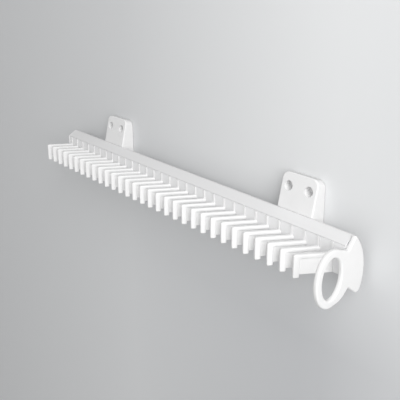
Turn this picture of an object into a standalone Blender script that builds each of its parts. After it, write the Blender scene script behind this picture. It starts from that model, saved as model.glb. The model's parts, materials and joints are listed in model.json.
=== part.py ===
"""A sliding tie rack for the inside of a wardrobe: two wall brackets carry a guide rail with a sloping
cover, and a bar with a row of angled tie hooks slides out of the rail by a pull plate with a finger ring.

Lengths are in metres. X runs along the rail towards the pull ring, the wall is the plane Y = 0 with the
rack on its -Y side, and Z = 0 is the line of the wall screws. Sections are drawn as (depth, height): depth
is the distance from the wall, and height is measured from the top of the hook arms.
"""

import math

import bmesh
import bpy
from mathutils import Matrix, Vector

# Fits
FIT_GAP = 0.0003
RUN_GAP = 0.0006

# Wall brackets
BRACKET_SPACING = 0.3064
BRACKET_WIDTH = 0.0417
BRACKET_TOP_DEPTH = 0.0093
BRACKET_LEDGE_DEPTH = 0.0175
BRACKET_SEAT_DEPTH = 0.0165
BRACKET_TOP_RISE = 0.0128
BRACKET_TOP_FALL = 0.003
BRACKET_SKIRT = 0.031
BRACKET_CORNER_RADIUS = 0.007
BRACKET_EDGE_RADIUS = 0.0014
BRACKET_WALL = 0.0024
BRACKET_RIB = 0.004
WALL_SCREW_SPACING = 0.0237
WALL_SCREW_HEAD_BORE = 0.0096
WALL_SCREW_BORE = 0.0045
WALL_SCREW_FLOOR = 0.0035
WALL_SCREW_BOSS = 0.0128

# Guide rail
SCREW_LINE_HEIGHT = 0.0387
RAIL_LENGTH = 0.4654
RAIL_FRONT = 0.06235
RAIL_TOP_HEIGHT = 0.0168
RAIL_BACK_HEIGHT = 0.0288
RAIL_BACK_THICKNESS = 0.0018
COVER_TOP_WIDTH = 0.0018
COVER_REACH = 0.0113
COVER_FALL = 0.00706
COVER_THICKNESS = 0.0022
SHELF_DROP = 0.0138
SHELF_THICKNESS = 0.002
LIP_HEIGHT = 0.0036
LIP_THICKNESS = 0.0015
CAP_THICKNESS = 0.0022
CAP_CORNER_RADIUS = 0.003
CAP_TAB_LENGTH = 0.010
CAP_TAB_THICKNESS = 0.002

# Fasteners inside the rail
RAIL_SCREW_SPACING = 0.020
RAIL_SCREW_DROP = 0.0037
RAIL_SCREW_DIAMETER = 0.0032
RAIL_SCREW_LENGTH = 0.011
RAIL_SCREW_HEAD_DIAMETER = 0.0060
RAIL_SCREW_BOSS = 0.0080
STOP_DIAMETER = 0.0032
STOP_LENGTH = 0.0045
STOP_HEAD_DIAMETER = 0.0070
STOP_HEAD_HEIGHT = 0.0019
STOP_HEAD_RIM = 0.001
STOP_HEAD_FLAT = 0.0049

# Slide bar
SLIDE_TRAVEL = 0.300
LEG_THICKNESS = 0.0022
PLATE_THICKNESS = 0.0026
GROOVE_DEPTH = 0.0015
FOOT_THICKNESS = 0.0022
FOOT_DROP = 0.0083
BAR_END_GAP = 0.0007
SHOE_LENGTH = 0.030
SHOE_CORNER_RADIUS = 0.001

# Tie hooks
HOOK_PITCH = 0.015
HOOK_ANGLE = math.radians(33.6)
HOOK_LENGTH = 0.0340
HOOK_SETBACK = 0.0005
HOOK_END_INSET = 0.01015
HOOK_REAR_INSET = 0.003
RIB_DEPTH = 0.0008
RIB_THICKNESS = 0.0024
RIM_HEIGHT = 0.004
RIM_THICKNESS = 0.0042
RIM_EDGE_RADIUS = 0.001
RIM_CORNER_RADIUS = 0.002
POST_WIDTH = 0.0058
POST_HEIGHT = 0.0221
POST_CORNER_RADIUS = 0.0012
WEB_THICKNESS = 0.002
WEB_HEIGHT = 0.0187

# Pull plate
PULL_GAP = 0.003
PULL_THICKNESS = 0.0046
PULL_EDGE_RADIUS = 0.0016
PULL_ARC_RADIUS = 0.0482
PULL_WALL_CLEARANCE = 0.0051
PULL_ARC_HEIGHT = -0.0165
PULL_ARC_TOP = 0.0155
PULL_ARC_BOTTOM = -0.0330
PULL_HORN_DEPTH = 0.0202
PULL_HORN_HEIGHT = 0.0184
PULL_HORN_RADIUS = 0.0015
PULL_VALLEY_DEPTH = 0.0297
PULL_VALLEY_HEIGHT = 0.0078
PULL_VALLEY_RADIUS = 0.0015
PULL_TAIL_DEPTH = 0.0126
PULL_TAIL_HEIGHT = -0.0397
PULL_TAIL_RADIUS = 0.0042
PULL_NOTCH_DEPTH = 0.0275
PULL_NOTCH_HEIGHT = -0.0280
PULL_NOTCH_RADIUS = 0.001
PULL_BELLY_DEPTH = 0.0370
PULL_BELLY_HEIGHT = -0.0364
PULL_BELLY_RADIUS = 0.020
PULL_TONGUE_LENGTH = 0.0143
PULL_TONGUE_DEPTH = 0.0051
RING_DEPTH = 0.0511
RING_HEIGHT = -0.0113
RING_HOLE_REACH = 0.0133
RING_HOLE_RISE = 0.0189
RING_BAND = 0.0074
RING_TOP_JOIN = math.radians(118)
RING_LOW_JOIN = math.radians(270)

# Rounding of the meshes
BORE_SIDES = 24
ARC_STEPS = 4
SMALL_RADIUS = 0.002
BEVEL_FROM = math.radians(40)
SHARP_FROM = math.radians(35)
WELD = 1e-6

# Sizes that follow from the ones above
RAIL_BACK = BRACKET_SEAT_DEPTH + FIT_GAP
RAIL_INSIDE = RAIL_BACK + RAIL_BACK_THICKNESS
COVER_TOP_DEPTH = RAIL_BACK + COVER_TOP_WIDTH
COVER_EDGE_DEPTH = COVER_TOP_DEPTH + COVER_REACH
COVER_EDGE_HEIGHT = RAIL_TOP_HEIGHT - COVER_FALL
COVER_SLOPE = COVER_FALL / COVER_REACH
COVER_RISE = COVER_THICKNESS * math.hypot(1.0, COVER_SLOPE)
SHELF_TOP = RAIL_TOP_HEIGHT - SHELF_DROP
SHELF_UNDER = SHELF_TOP - SHELF_THICKNESS
RAIL_BOTTOM = RAIL_TOP_HEIGHT - RAIL_BACK_HEIGHT
LEG_BACK = RAIL_INSIDE + RUN_GAP
LEG_FRONT = LEG_BACK + LEG_THICKNESS
LIP_BACK = LEG_FRONT + RUN_GAP
LIP_FRONT = LIP_BACK + LIP_THICKNESS
LIP_TOP = SHELF_TOP + LIP_HEIGHT
RIB_FRONT = COVER_EDGE_DEPTH - HOOK_SETBACK
RIB_TOP = COVER_EDGE_HEIGHT - RUN_GAP
PLATE_FRONT = RIB_FRONT - RIB_DEPTH
PLATE_BACK = PLATE_FRONT - PLATE_THICKNESS
BRIDGE_UNDER = LIP_TOP + RUN_GAP
RAIL_REAR = RAIL_FRONT - RAIL_LENGTH
BAR_REAR = RAIL_REAR + BAR_END_GAP
PULL_BACK = RAIL_FRONT + PULL_GAP
BAR_FRONT = PULL_BACK - FIT_GAP
LAST_HOOK = RAIL_FRONT - HOOK_END_INSET
HOOK_COUNT = 1 + math.floor((LAST_HOOK - BAR_REAR - HOOK_REAR_INSET) / HOOK_PITCH)
LEDGE_HEIGHT = RAIL_TOP_HEIGHT + FIT_GAP
BRACKET_TOP = SCREW_LINE_HEIGHT + BRACKET_TOP_RISE
BRACKET_BOTTOM = LEDGE_HEIGHT - BRACKET_SKIRT
BRACKET_LEAN = (BRACKET_LEDGE_DEPTH - BRACKET_TOP_DEPTH) / (BRACKET_TOP - LEDGE_HEIGHT)
BRACKET_TOP_SLOPE = BRACKET_TOP_FALL / BRACKET_TOP_DEPTH
SHOE_FRONT = BAR_REAR + SHOE_LENGTH
STOP_X = SHOE_FRONT + SLIDE_TRAVEL + STOP_HEAD_DIAMETER / 2


# Scene


def clear_scene():
    for obj in list(bpy.data.objects):
        bpy.data.objects.remove(obj, do_unlink=True)


def new_collection(name):
    made = bpy.data.collections.new(name)
    bpy.context.scene.collection.children.link(made)
    return made


clear_scene()
PARTS = new_collection("sliding_tie_rack")
CUTTERS = new_collection("cutters")


def plastic(name, colour, roughness, metallic=0.0):
    """A Principled material with one colour."""
    material = bpy.data.materials.new(name)
    material.use_nodes = True
    shader = material.node_tree.nodes["Principled BSDF"]
    shader.inputs["Base Color"].default_value = (*colour, 1.0)
    shader.inputs["Roughness"].default_value = roughness
    shader.inputs["Metallic"].default_value = metallic
    return material


BRACKET_WHITE = plastic("bracket_white", (0.86, 0.86, 0.86), 0.45)
RAIL_WHITE = plastic("rail_white", (0.82, 0.82, 0.82), 0.40)
BAR_WHITE = plastic("bar_white", (0.82, 0.82, 0.82), 0.45)
HOOK_WHITE = plastic("hook_white", (0.88, 0.88, 0.88), 0.40)
PULL_WHITE = plastic("pull_white", (0.90, 0.90, 0.90), 0.35)
SCREW_STEEL = plastic("screw_steel", (0.62, 0.62, 0.63), 0.35, 1.0)


# Placing


def at_height(height):
    """World Z of a height that is measured from the top of the hook arms."""
    return height - SCREW_LINE_HEIGHT


def section_frame(x):
    """Frame of a section across the rail: depth, height, then the thickness along X, centred on x."""
    frame = Matrix(((0, 0, -1, x), (-1, 0, 0, 0), (0, 1, 0, at_height(0.0)), (0, 0, 0, 1)))
    return frame


def front_frame(depth):
    """Frame of an outline on the front: X, height, then the thickness across the wall, centred on depth."""
    return Matrix(((1, 0, 0, 0), (0, 0, -1, -depth), (0, 1, 0, at_height(0.0)), (0, 0, 0, 1)))


def hook_frame():
    """Frame of an outline in the plane of a hook whose root is at X = 0: along the arm, then height."""
    out = Vector((-math.sin(HOOK_ANGLE), -math.cos(HOOK_ANGLE), 0.0))
    up = Vector((0.0, 0.0, 1.0))
    side = out.cross(up)
    root = Matrix.Translation((0.0, -RIB_FRONT, at_height(0.0)))
    return root @ Matrix((out, up, side)).transposed().to_4x4()


# Solids


def tidy_mesh(mesh):
    """Welds a mesh's loose caps and points its faces outwards."""
    work = bmesh.new()
    work.from_mesh(mesh)
    bmesh.ops.remove_doubles(work, verts=work.verts, dist=WELD)
    bmesh.ops.dissolve_degenerate(work, edges=work.edges, dist=WELD)
    bmesh.ops.recalc_face_normals(work, faces=work.faces)
    work.to_mesh(mesh)
    work.free()
    return mesh


def evaluated_mesh(obj):
    """The mesh that an object shows, with its modifiers, in the object's own frame."""
    graph = bpy.context.evaluated_depsgraph_get()
    return tidy_mesh(bpy.data.meshes.new_from_object(obj.evaluated_get(graph)))


def place(name, mesh, material=None, collection=PARTS):
    obj = bpy.data.objects.new(name, mesh)
    collection.objects.link(obj)
    if material:
        mesh.materials.clear()
        mesh.materials.append(material)
        mesh.shade_smooth()
        mesh.set_sharp_from_angle(angle=SHARP_FROM)
    return obj


def cutter(name, mesh):
    obj = place(name, mesh, collection=CUTTERS)
    obj.hide_render = True
    obj.display_type = "WIRE"
    return obj


def flat_mesh(name, outline, thickness, frame, edge=0.0, hole=()):
    """An outline with a thickness, centred on its frame, its rims rounded by edge; a hole runs clockwise."""
    curve = bpy.data.curves.new(name, "CURVE")
    curve.dimensions = "2D"
    curve.fill_mode = "BOTH"
    curve.extrude = thickness / 2 - edge
    curve.bevel_depth = edge
    curve.bevel_resolution = 1
    curve.offset = -edge
    for loop in filter(None, (outline, hole)):
        spline = curve.splines.new("POLY")
        spline.points.add(len(loop) - 1)
        for point, (across, up) in zip(spline.points, loop):
            point.co = (across, up, 0.0, 1.0)
        spline.use_cyclic_u = True
    holder = bpy.data.objects.new(name, curve)
    PARTS.objects.link(holder)
    bpy.context.view_layer.update()
    mesh = evaluated_mesh(holder)
    bpy.data.objects.remove(holder, do_unlink=True)
    mesh.transform(frame)
    return tidy_mesh(mesh)


def section_mesh(name, outline, start, end):
    """A section across the rail, drawn along X from start to end."""
    return flat_mesh(name, outline, end - start, section_frame((start + end) / 2))


def rods_mesh(name, radius, places, near, far):
    """Round rods across the wall, at (x, height) places, from a near depth to a far one."""
    work = bmesh.new()
    turn = Matrix.Rotation(math.radians(90), 4, "X")
    for x, height in places:
        spot = Matrix.Translation((x, -(near + far) / 2, at_height(height)))
        bmesh.ops.create_cone(
            work,
            cap_ends=True,
            segments=BORE_SIDES,
            radius1=radius,
            radius2=radius,
            depth=far - near,
            matrix=spot @ turn,
        )
    mesh = bpy.data.meshes.new(name)
    work.to_mesh(mesh)
    work.free()
    return mesh


def box_mesh(name, low, high):
    """A box between two corners, given as (x, depth, height)."""
    corners = [Vector((x, -depth, at_height(height))) for x, depth, height in (low, high)]
    middle = (corners[0] + corners[1]) / 2
    size = corners[1] - corners[0]
    work = bmesh.new()
    bmesh.ops.create_cube(work, size=1.0)
    bmesh.ops.scale(work, vec=[abs(length) for length in size], verts=work.verts)
    bmesh.ops.translate(work, vec=middle, verts=work.verts)
    mesh = bpy.data.meshes.new(name)
    work.to_mesh(mesh)
    work.free()
    return mesh


def combine(obj, other, operation):
    """Adds a Boolean modifier to an object."""
    modifier = obj.modifiers.new(other.name, "BOOLEAN")
    modifier.operation = operation
    modifier.object = other


def turned_mesh(name, profile):
    """A solid turned about the line X = Z = 0: (radius, depth) steps that run towards the wall."""
    closed = [(0.0, profile[0][1]), *profile, (0.0, profile[-1][1])]
    points = [(radius, 0.0, depth) for radius, depth in closed]
    steps = [(i, i + 1) for i in range(len(points) - 1)]
    line = bpy.data.meshes.new(name)
    line.from_pydata(points, steps, [])
    holder = bpy.data.objects.new(name, line)
    PARTS.objects.link(holder)
    turn = holder.modifiers.new("turn", "SCREW")
    turn.steps = BORE_SIDES
    turn.render_steps = BORE_SIDES
    turn.use_merge_vertices = True
    turn.merge_threshold = WELD
    bpy.context.view_layer.update()
    mesh = evaluated_mesh(holder)
    bpy.data.objects.remove(holder, do_unlink=True)
    mesh.transform(Matrix.Rotation(math.radians(90), 4, "X"))
    return tidy_mesh(mesh)


# Outlines


def rounded(corners):
    """An outline of (across, up, radius) corners, each rounded by an arc where its radius isn't 0."""
    outline = []
    count = len(corners)
    for i, (across, up, radius) in enumerate(corners):
        corner = Vector((across, up))
        if not radius:
            outline.append(tuple(corner))
            continue
        before = (Vector(corners[i - 1][:2]) - corner).normalized()
        after = (Vector(corners[(i + 1) % count][:2]) - corner).normalized()
        half = before.angle(after) / 2
        middle = corner + (before + after).normalized() * (radius / math.sin(half))
        start = corner + before * (radius / math.tan(half)) - middle
        sweep = start.angle_signed(corner + after * (radius / math.tan(half)) - middle)
        steps = ARC_STEPS // 2 if radius < SMALL_RADIUS else ARC_STEPS
        for step in range(steps + 1):
            spoke = Matrix.Rotation(-sweep * step / steps, 2) @ start
            outline.append(tuple(middle + spoke))
    return outline


def arc(centre, reach, rise, start, end, steps):
    """Points of an oval arc with half axes reach (across) and rise (up), its angles in radians."""
    angles = [start + (end - start) * i / steps for i in range(steps + 1)]
    return [(centre[0] + reach * math.cos(a), centre[1] + rise * math.sin(a)) for a in angles]


# Wall brackets


def bracket_mesh():
    """One moulded bracket, cored out from behind, centred on X = 0."""
    half = BRACKET_WIDTH / 2
    spare = BRACKET_WALL
    wedge = [
        (-spare, BRACKET_BOTTOM),
        (BRACKET_LEDGE_DEPTH, BRACKET_BOTTOM),
        (BRACKET_LEDGE_DEPTH, LEDGE_HEIGHT),
        (BRACKET_TOP_DEPTH - spare * BRACKET_LEAN, BRACKET_TOP + spare),
        (-spare, BRACKET_TOP + spare),
    ]
    body = place("bracket_body", section_mesh("bracket_body", wedge, -half, half))
    face = rounded(
        [
            (-half, BRACKET_BOTTOM - BRACKET_SKIRT, 0),
            (half, BRACKET_BOTTOM - BRACKET_SKIRT, 0),
            (half, BRACKET_TOP, BRACKET_CORNER_RADIUS),
            (-half, BRACKET_TOP, BRACKET_CORNER_RADIUS),
        ]
    )
    deep = BRACKET_LEDGE_DEPTH + 2 * spare
    face_block = flat_mesh("bracket_face", face, 2 * deep, front_frame(0.0))
    fall = Matrix.Identity(4)
    fall[2][1] = -BRACKET_TOP_SLOPE
    fall[2][3] = -BRACKET_TOP_SLOPE * BRACKET_TOP_DEPTH
    face_block.transform(fall)
    combine(body, cutter("bracket_face", face_block), "INTERSECT")
    soften = body.modifiers.new("edges", "BEVEL")
    soften.width = BRACKET_EDGE_RADIUS
    soften.segments = 2
    soften.limit_method = "ANGLE"
    soften.angle_limit = BEVEL_FROM

    outside = BRACKET_WIDTH
    low = BRACKET_BOTTOM - 2 * spare
    behind = box_mesh("behind_wall", (-outside, -deep, low), (outside, 0.0, BRACKET_TOP + spare))
    combine(body, cutter("behind_wall", behind), "DIFFERENCE")
    notch = box_mesh(
        "rail_seat", (-outside, BRACKET_SEAT_DEPTH, low), (outside, deep, LEDGE_HEIGHT)
    )
    combine(body, cutter("rail_seat", notch), "DIFFERENCE")

    slant = BRACKET_WALL * math.hypot(1.0, BRACKET_LEAN)
    sill = LEDGE_HEIGHT + BRACKET_WALL
    roof = BRACKET_TOP - BRACKET_WALL * math.hypot(1.0, BRACKET_TOP_SLOPE)
    roof_front = BRACKET_TOP_DEPTH + BRACKET_WALL * BRACKET_LEAN - slant
    hollow = [
        (-spare, BRACKET_BOTTOM + BRACKET_WALL),
        (BRACKET_SEAT_DEPTH - BRACKET_WALL, BRACKET_BOTTOM + BRACKET_WALL),
        (BRACKET_SEAT_DEPTH - BRACKET_WALL, sill),
        (BRACKET_TOP_DEPTH + (BRACKET_TOP - sill) * BRACKET_LEAN - slant, sill),
        (roof_front, roof - (BRACKET_TOP_DEPTH - roof_front) * BRACKET_TOP_SLOPE),
        (-spare, roof - (BRACKET_TOP_DEPTH + spare) * BRACKET_TOP_SLOPE),
    ]
    inner = half - BRACKET_WALL
    core = cutter("bracket_core", section_mesh("bracket_core", hollow, -inner, inner))
    wall_screws = [(side * WALL_SCREW_SPACING / 2, SCREW_LINE_HEIGHT) for side in (-1, 1)]
    rail_screws = [(side * RAIL_SCREW_SPACING / 2, -RAIL_SCREW_DROP) for side in (-1, 1)]
    bosses = rods_mesh("wall_screw_bosses", WALL_SCREW_BOSS / 2, wall_screws, -deep, deep)
    combine(core, cutter("wall_screw_bosses", bosses), "DIFFERENCE")
    pillars = rods_mesh("rail_screw_bosses", RAIL_SCREW_BOSS / 2, rail_screws, -deep, deep)
    combine(core, cutter("rail_screw_bosses", pillars), "DIFFERENCE")
    bridge = box_mesh(
        "boss_bridge",
        (-WALL_SCREW_SPACING / 2, -deep, SCREW_LINE_HEIGHT - BRACKET_RIB / 2),
        (WALL_SCREW_SPACING / 2, deep, SCREW_LINE_HEIGHT + BRACKET_RIB / 2),
    )
    combine(core, cutter("boss_bridge", bridge), "DIFFERENCE")
    combine(body, core, "DIFFERENCE")

    heads = rods_mesh("head_bores", WALL_SCREW_HEAD_BORE / 2, wall_screws, WALL_SCREW_FLOOR, deep)
    combine(body, cutter("head_bores", heads), "DIFFERENCE")
    shanks = rods_mesh("screw_bores", WALL_SCREW_BORE / 2, wall_screws, -spare, 2 * WALL_SCREW_FLOOR)
    combine(body, cutter("screw_bores", shanks), "DIFFERENCE")
    pilot_end = RAIL_INSIDE - RAIL_SCREW_LENGTH - FIT_GAP
    pilots = rods_mesh(
        "pilot_bores", RAIL_SCREW_DIAMETER / 2 + FIT_GAP, rail_screws, pilot_end, deep
    )
    combine(body, cutter("pilot_bores", pilots), "DIFFERENCE")
    bpy.context.view_layer.update()
    mesh = evaluated_mesh(body)
    bpy.data.objects.remove(body, do_unlink=True)
    return mesh


def make_brackets(carrier):
    shared = bracket_mesh()
    for name, x in (("bracket_front", 0.0), ("bracket_rear", -BRACKET_SPACING)):
        bracket = place(name, shared, BRACKET_WHITE)
        bracket.location.x = x
        bracket.parent = carrier


# Guide rail


def cover_under(depth):
    """Height of the sloping cover's underside at a depth."""
    return RAIL_TOP_HEIGHT - COVER_RISE - (depth - COVER_TOP_DEPTH) * COVER_SLOPE


def rail_section():
    """The rail's section: back wall, sloping cover, and a shelf with a raised lip that the bar hangs on."""
    edge_back = COVER_TOP_DEPTH + (COVER_FALL - COVER_RISE) / COVER_SLOPE
    return [
        (RAIL_BACK, RAIL_BOTTOM),
        (RAIL_BACK, RAIL_TOP_HEIGHT),
        (COVER_TOP_DEPTH, RAIL_TOP_HEIGHT),
        (COVER_EDGE_DEPTH, COVER_EDGE_HEIGHT),
        (edge_back, COVER_EDGE_HEIGHT),
        (RAIL_INSIDE, cover_under(RAIL_INSIDE)),
        (RAIL_INSIDE, SHELF_TOP),
        (LIP_BACK, SHELF_TOP),
        (LIP_BACK, LIP_TOP),
        (LIP_FRONT, LIP_TOP),
        (LIP_FRONT, SHELF_UNDER),
        (RAIL_INSIDE, SHELF_UNDER),
        (RAIL_INSIDE, RAIL_BOTTOM),
    ]


def rail_screw_places():
    """(x, height) of the four screws that hold the rail to the brackets."""
    places = []
    for bracket in (0.0, -BRACKET_SPACING):
        for side in (-1, 1):
            places.append((bracket + side * RAIL_SCREW_SPACING / 2, -RAIL_SCREW_DROP))
    return places


def make_rail(carrier):
    rail = place("guide_rail", section_mesh("guide_rail", rail_section(), RAIL_REAR, RAIL_FRONT), RAIL_WHITE)
    behind = RAIL_BACK - RAIL_BACK_THICKNESS
    past = RAIL_INSIDE + RAIL_BACK_THICKNESS
    hole = RAIL_SCREW_DIAMETER / 2 + FIT_GAP
    head = RAIL_SCREW_HEAD_DIAMETER / 2 + FIT_GAP
    sink = head - hole
    flare = turned_mesh(
        "countersink",
        [(head, past), (head, RAIL_INSIDE), (hole, RAIL_INSIDE - sink), (hole, behind)],
    )
    for number, (x, height) in enumerate(rail_screw_places(), 1):
        tool = cutter(f"countersink_{number}", flare)
        tool.location = (x, 0.0, at_height(height))
        combine(rail, tool, "DIFFERENCE")
    stop_bore = rods_mesh(
        "stop_bore", STOP_DIAMETER / 2 + FIT_GAP, [(STOP_X, -RAIL_SCREW_DROP)], behind, past
    )
    combine(rail, cutter("stop_bore", stop_bore), "DIFFERENCE")
    rail.parent = carrier


def make_rail_cap(carrier):
    """The cap on the rail's far end: an end wall that grips the rail between a plug and a back tab."""
    wall = rounded(
        [
            (RAIL_BACK, RAIL_BOTTOM, 0),
            (COVER_EDGE_DEPTH, RAIL_BOTTOM, CAP_CORNER_RADIUS),
            (COVER_EDGE_DEPTH, COVER_EDGE_HEIGHT, CAP_CORNER_RADIUS),
            (COVER_TOP_DEPTH, RAIL_TOP_HEIGHT, CAP_CORNER_RADIUS),
            (RAIL_BACK, RAIL_TOP_HEIGHT, 0),
            (RAIL_BACK, LIP_TOP, 0),
            (RAIL_BACK - FIT_GAP - CAP_TAB_THICKNESS, LIP_TOP, 0),
            (RAIL_BACK - FIT_GAP - CAP_TAB_THICKNESS, -LIP_TOP, 0),
            (RAIL_BACK, -LIP_TOP, 0),
        ]
    )
    inside = RAIL_REAR - FIT_GAP
    end_wall = section_mesh("rail_end_cap", wall, inside - CAP_THICKNESS, inside)
    cap = place("rail_end_cap", end_wall, RAIL_WHITE)
    middle = inside - CAP_THICKNESS / 2
    tab_end = RAIL_REAR + CAP_TAB_LENGTH
    tab = box_mesh(
        "cap_tab",
        (middle, RAIL_BACK - FIT_GAP - CAP_TAB_THICKNESS, -LIP_TOP),
        (tab_end, RAIL_BACK - FIT_GAP, LIP_TOP),
    )
    combine(cap, cutter("cap_tab", tab), "UNION")
    plug = box_mesh(
        "cap_plug",
        (middle, LIP_FRONT + FIT_GAP, SHELF_UNDER + FIT_GAP),
        (tab_end, PLATE_BACK - RUN_GAP, LIP_TOP),
    )
    combine(cap, cutter("cap_plug", plug), "UNION")
    cap.parent = carrier


# Fasteners inside the rail


def make_rail_screws(carrier):
    """Countersunk screws that hold the rail's back wall against the brackets, flush inside the rail."""
    shank = RAIL_SCREW_DIAMETER / 2
    head = RAIL_SCREW_HEAD_DIAMETER / 2
    tip = RAIL_INSIDE - RAIL_SCREW_LENGTH
    profile = [
        (head, RAIL_INSIDE),
        (shank, RAIL_INSIDE - head + shank),
        (shank, tip + shank),
        (shank / 2, tip),
    ]
    shared = turned_mesh("rail_screw", profile)
    for number, (x, height) in enumerate(rail_screw_places(), 1):
        screw = place(f"rail_screw_{number}", shared, SCREW_STEEL)
        screw.location = (x, 0.0, at_height(height))
        screw.parent = carrier


def make_slide_stop(carrier):
    """The headed stud in the rail's back wall that the glide shoe runs up to at full travel."""
    shank = STOP_DIAMETER / 2
    head = STOP_HEAD_DIAMETER / 2
    seat = RAIL_INSIDE + FIT_GAP
    profile = [
        (STOP_HEAD_FLAT / 2, seat + STOP_HEAD_HEIGHT),
        (head, seat + STOP_HEAD_RIM),
        (head, seat),
        (shank, seat),
        (shank, seat - STOP_LENGTH),
    ]
    stop = place("slide_stop", turned_mesh("slide_stop", profile), SCREW_STEEL)
    stop.location = (STOP_X, 0.0, at_height(-RAIL_SCREW_DROP))
    stop.parent = carrier


# Slide bar


def bar_section():
    """The bar's section: a leg behind the rail's lip, a bridge over it, the hook plate, and a foot."""
    ceiling = cover_under(LEG_BACK) - RUN_GAP * math.hypot(1.0, COVER_SLOPE)
    shoulder = LEG_BACK + (ceiling - RIB_TOP) / COVER_SLOPE
    return [
        (LEG_BACK, SHELF_TOP + RUN_GAP),
        (LEG_BACK, ceiling),
        (shoulder, RIB_TOP),
        (PLATE_FRONT, RIB_TOP),
        (PLATE_FRONT, -WEB_HEIGHT),
        (PLATE_BACK, -WEB_HEIGHT),
        (PLATE_BACK, -FOOT_DROP - FOOT_THICKNESS),
        (LEG_BACK, -FOOT_DROP - FOOT_THICKNESS),
        (LEG_BACK, -FOOT_DROP),
        (PLATE_BACK, -FOOT_DROP),
        (PLATE_BACK, BRIDGE_UNDER),
        (LEG_FRONT, BRIDGE_UNDER),
        (LEG_FRONT, SHELF_TOP + RUN_GAP),
    ]


def hook_roots():
    """X of every hook's root, from the far end to the pull ring."""
    return [LAST_HOOK - HOOK_PITCH * (HOOK_COUNT - 1 - i) for i in range(HOOK_COUNT)]


def grooves_mesh():
    """One upright groove in the hook plate for each hook's root rib."""
    work = bmesh.new()
    width = RIB_THICKNESS + 2 * FIT_GAP
    tall = 3 * (RIB_TOP + WEB_HEIGHT)
    for root in hook_roots():
        spot = Matrix.Translation((root, -PLATE_FRONT, at_height(0.0)))
        size = Matrix.Diagonal((width, 2 * GROOVE_DEPTH, tall, 1.0))
        bmesh.ops.create_cube(work, size=1.0, matrix=spot @ size)
    mesh = bpy.data.meshes.new("rib_grooves")
    work.to_mesh(mesh)
    work.free()
    return mesh


def make_bar(carrier):
    bar = place("slide_bar", section_mesh("slide_bar", bar_section(), BAR_REAR, BAR_FRONT), BAR_WHITE)
    combine(bar, cutter("rib_grooves", grooves_mesh()), "DIFFERENCE")
    bar.parent = carrier


def make_glide_shoe(carrier):
    """The block in the bar's far end that keeps it square in the rail and meets the stop."""
    outline = rounded(
        [
            (LEG_BACK, FIT_GAP - FOOT_DROP, SHOE_CORNER_RADIUS),
            (PLATE_BACK - FIT_GAP, FIT_GAP - FOOT_DROP, SHOE_CORNER_RADIUS),
            (PLATE_BACK - FIT_GAP, SHELF_UNDER - RUN_GAP, SHOE_CORNER_RADIUS),
            (LEG_BACK, SHELF_UNDER - RUN_GAP, SHOE_CORNER_RADIUS),
        ]
    )
    shoe = place("glide_shoe", section_mesh("glide_shoe", outline, BAR_REAR, SHOE_FRONT), BAR_WHITE)
    shoe.parent = carrier


# Tie hooks


def hook_mesh():
    """One hook, with its origin where the front of its root rib meets the top of the arm."""
    frame = hook_frame()
    back = -(RIB_DEPTH + RIM_THICKNESS)
    rim = rounded(
        [
            (back, 0.0, 0),
            (back, -RIM_HEIGHT, 0),
            (HOOK_LENGTH - POST_WIDTH, -RIM_HEIGHT, POST_CORNER_RADIUS),
            (HOOK_LENGTH - POST_WIDTH, -POST_HEIGHT, POST_CORNER_RADIUS),
            (HOOK_LENGTH, -POST_HEIGHT, POST_CORNER_RADIUS),
            (HOOK_LENGTH, 0.0, RIM_CORNER_RADIUS),
        ]
    )
    post_middle = HOOK_LENGTH - POST_WIDTH / 2
    web = [
        (back, -RIM_HEIGHT / 2),
        (post_middle, -RIM_HEIGHT / 2),
        (post_middle, -WEB_HEIGHT),
        (back, -WEB_HEIGHT),
    ]
    hook = place("hook_body", flat_mesh("hook_body", rim, RIM_THICKNESS, frame, RIM_EDGE_RADIUS))
    combine(hook, cutter("hook_web", flat_mesh("hook_web", web, WEB_THICKNESS, frame)), "UNION")
    far = 2 * HOOK_LENGTH
    bar_face = PLATE_FRONT + FIT_GAP
    behind = box_mesh("hook_trim", (-far, bar_face - far, -far), (far, bar_face, far))
    combine(hook, cutter("hook_trim", behind), "DIFFERENCE")
    half = RIB_THICKNESS / 2
    groove_floor = PLATE_FRONT - GROOVE_DEPTH
    rib = box_mesh("hook_rib", (-half, groove_floor + FIT_GAP, -WEB_HEIGHT), (half, RIB_FRONT, RIB_TOP))
    combine(hook, cutter("hook_rib", rib), "UNION")
    bpy.context.view_layer.update()
    mesh = evaluated_mesh(hook)
    bpy.data.objects.remove(hook, do_unlink=True)
    mesh.transform(Matrix.Translation((0.0, RIB_FRONT, -at_height(0.0))))
    return mesh


def make_hooks(carrier):
    shared = hook_mesh()
    for number, root in enumerate(hook_roots(), 1):
        hook = place(f"hook_{number:02d}", shared, HOOK_WHITE)
        hook.location = (root, -RIB_FRONT, at_height(0.0))
        hook.parent = carrier


# Pull plate


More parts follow.
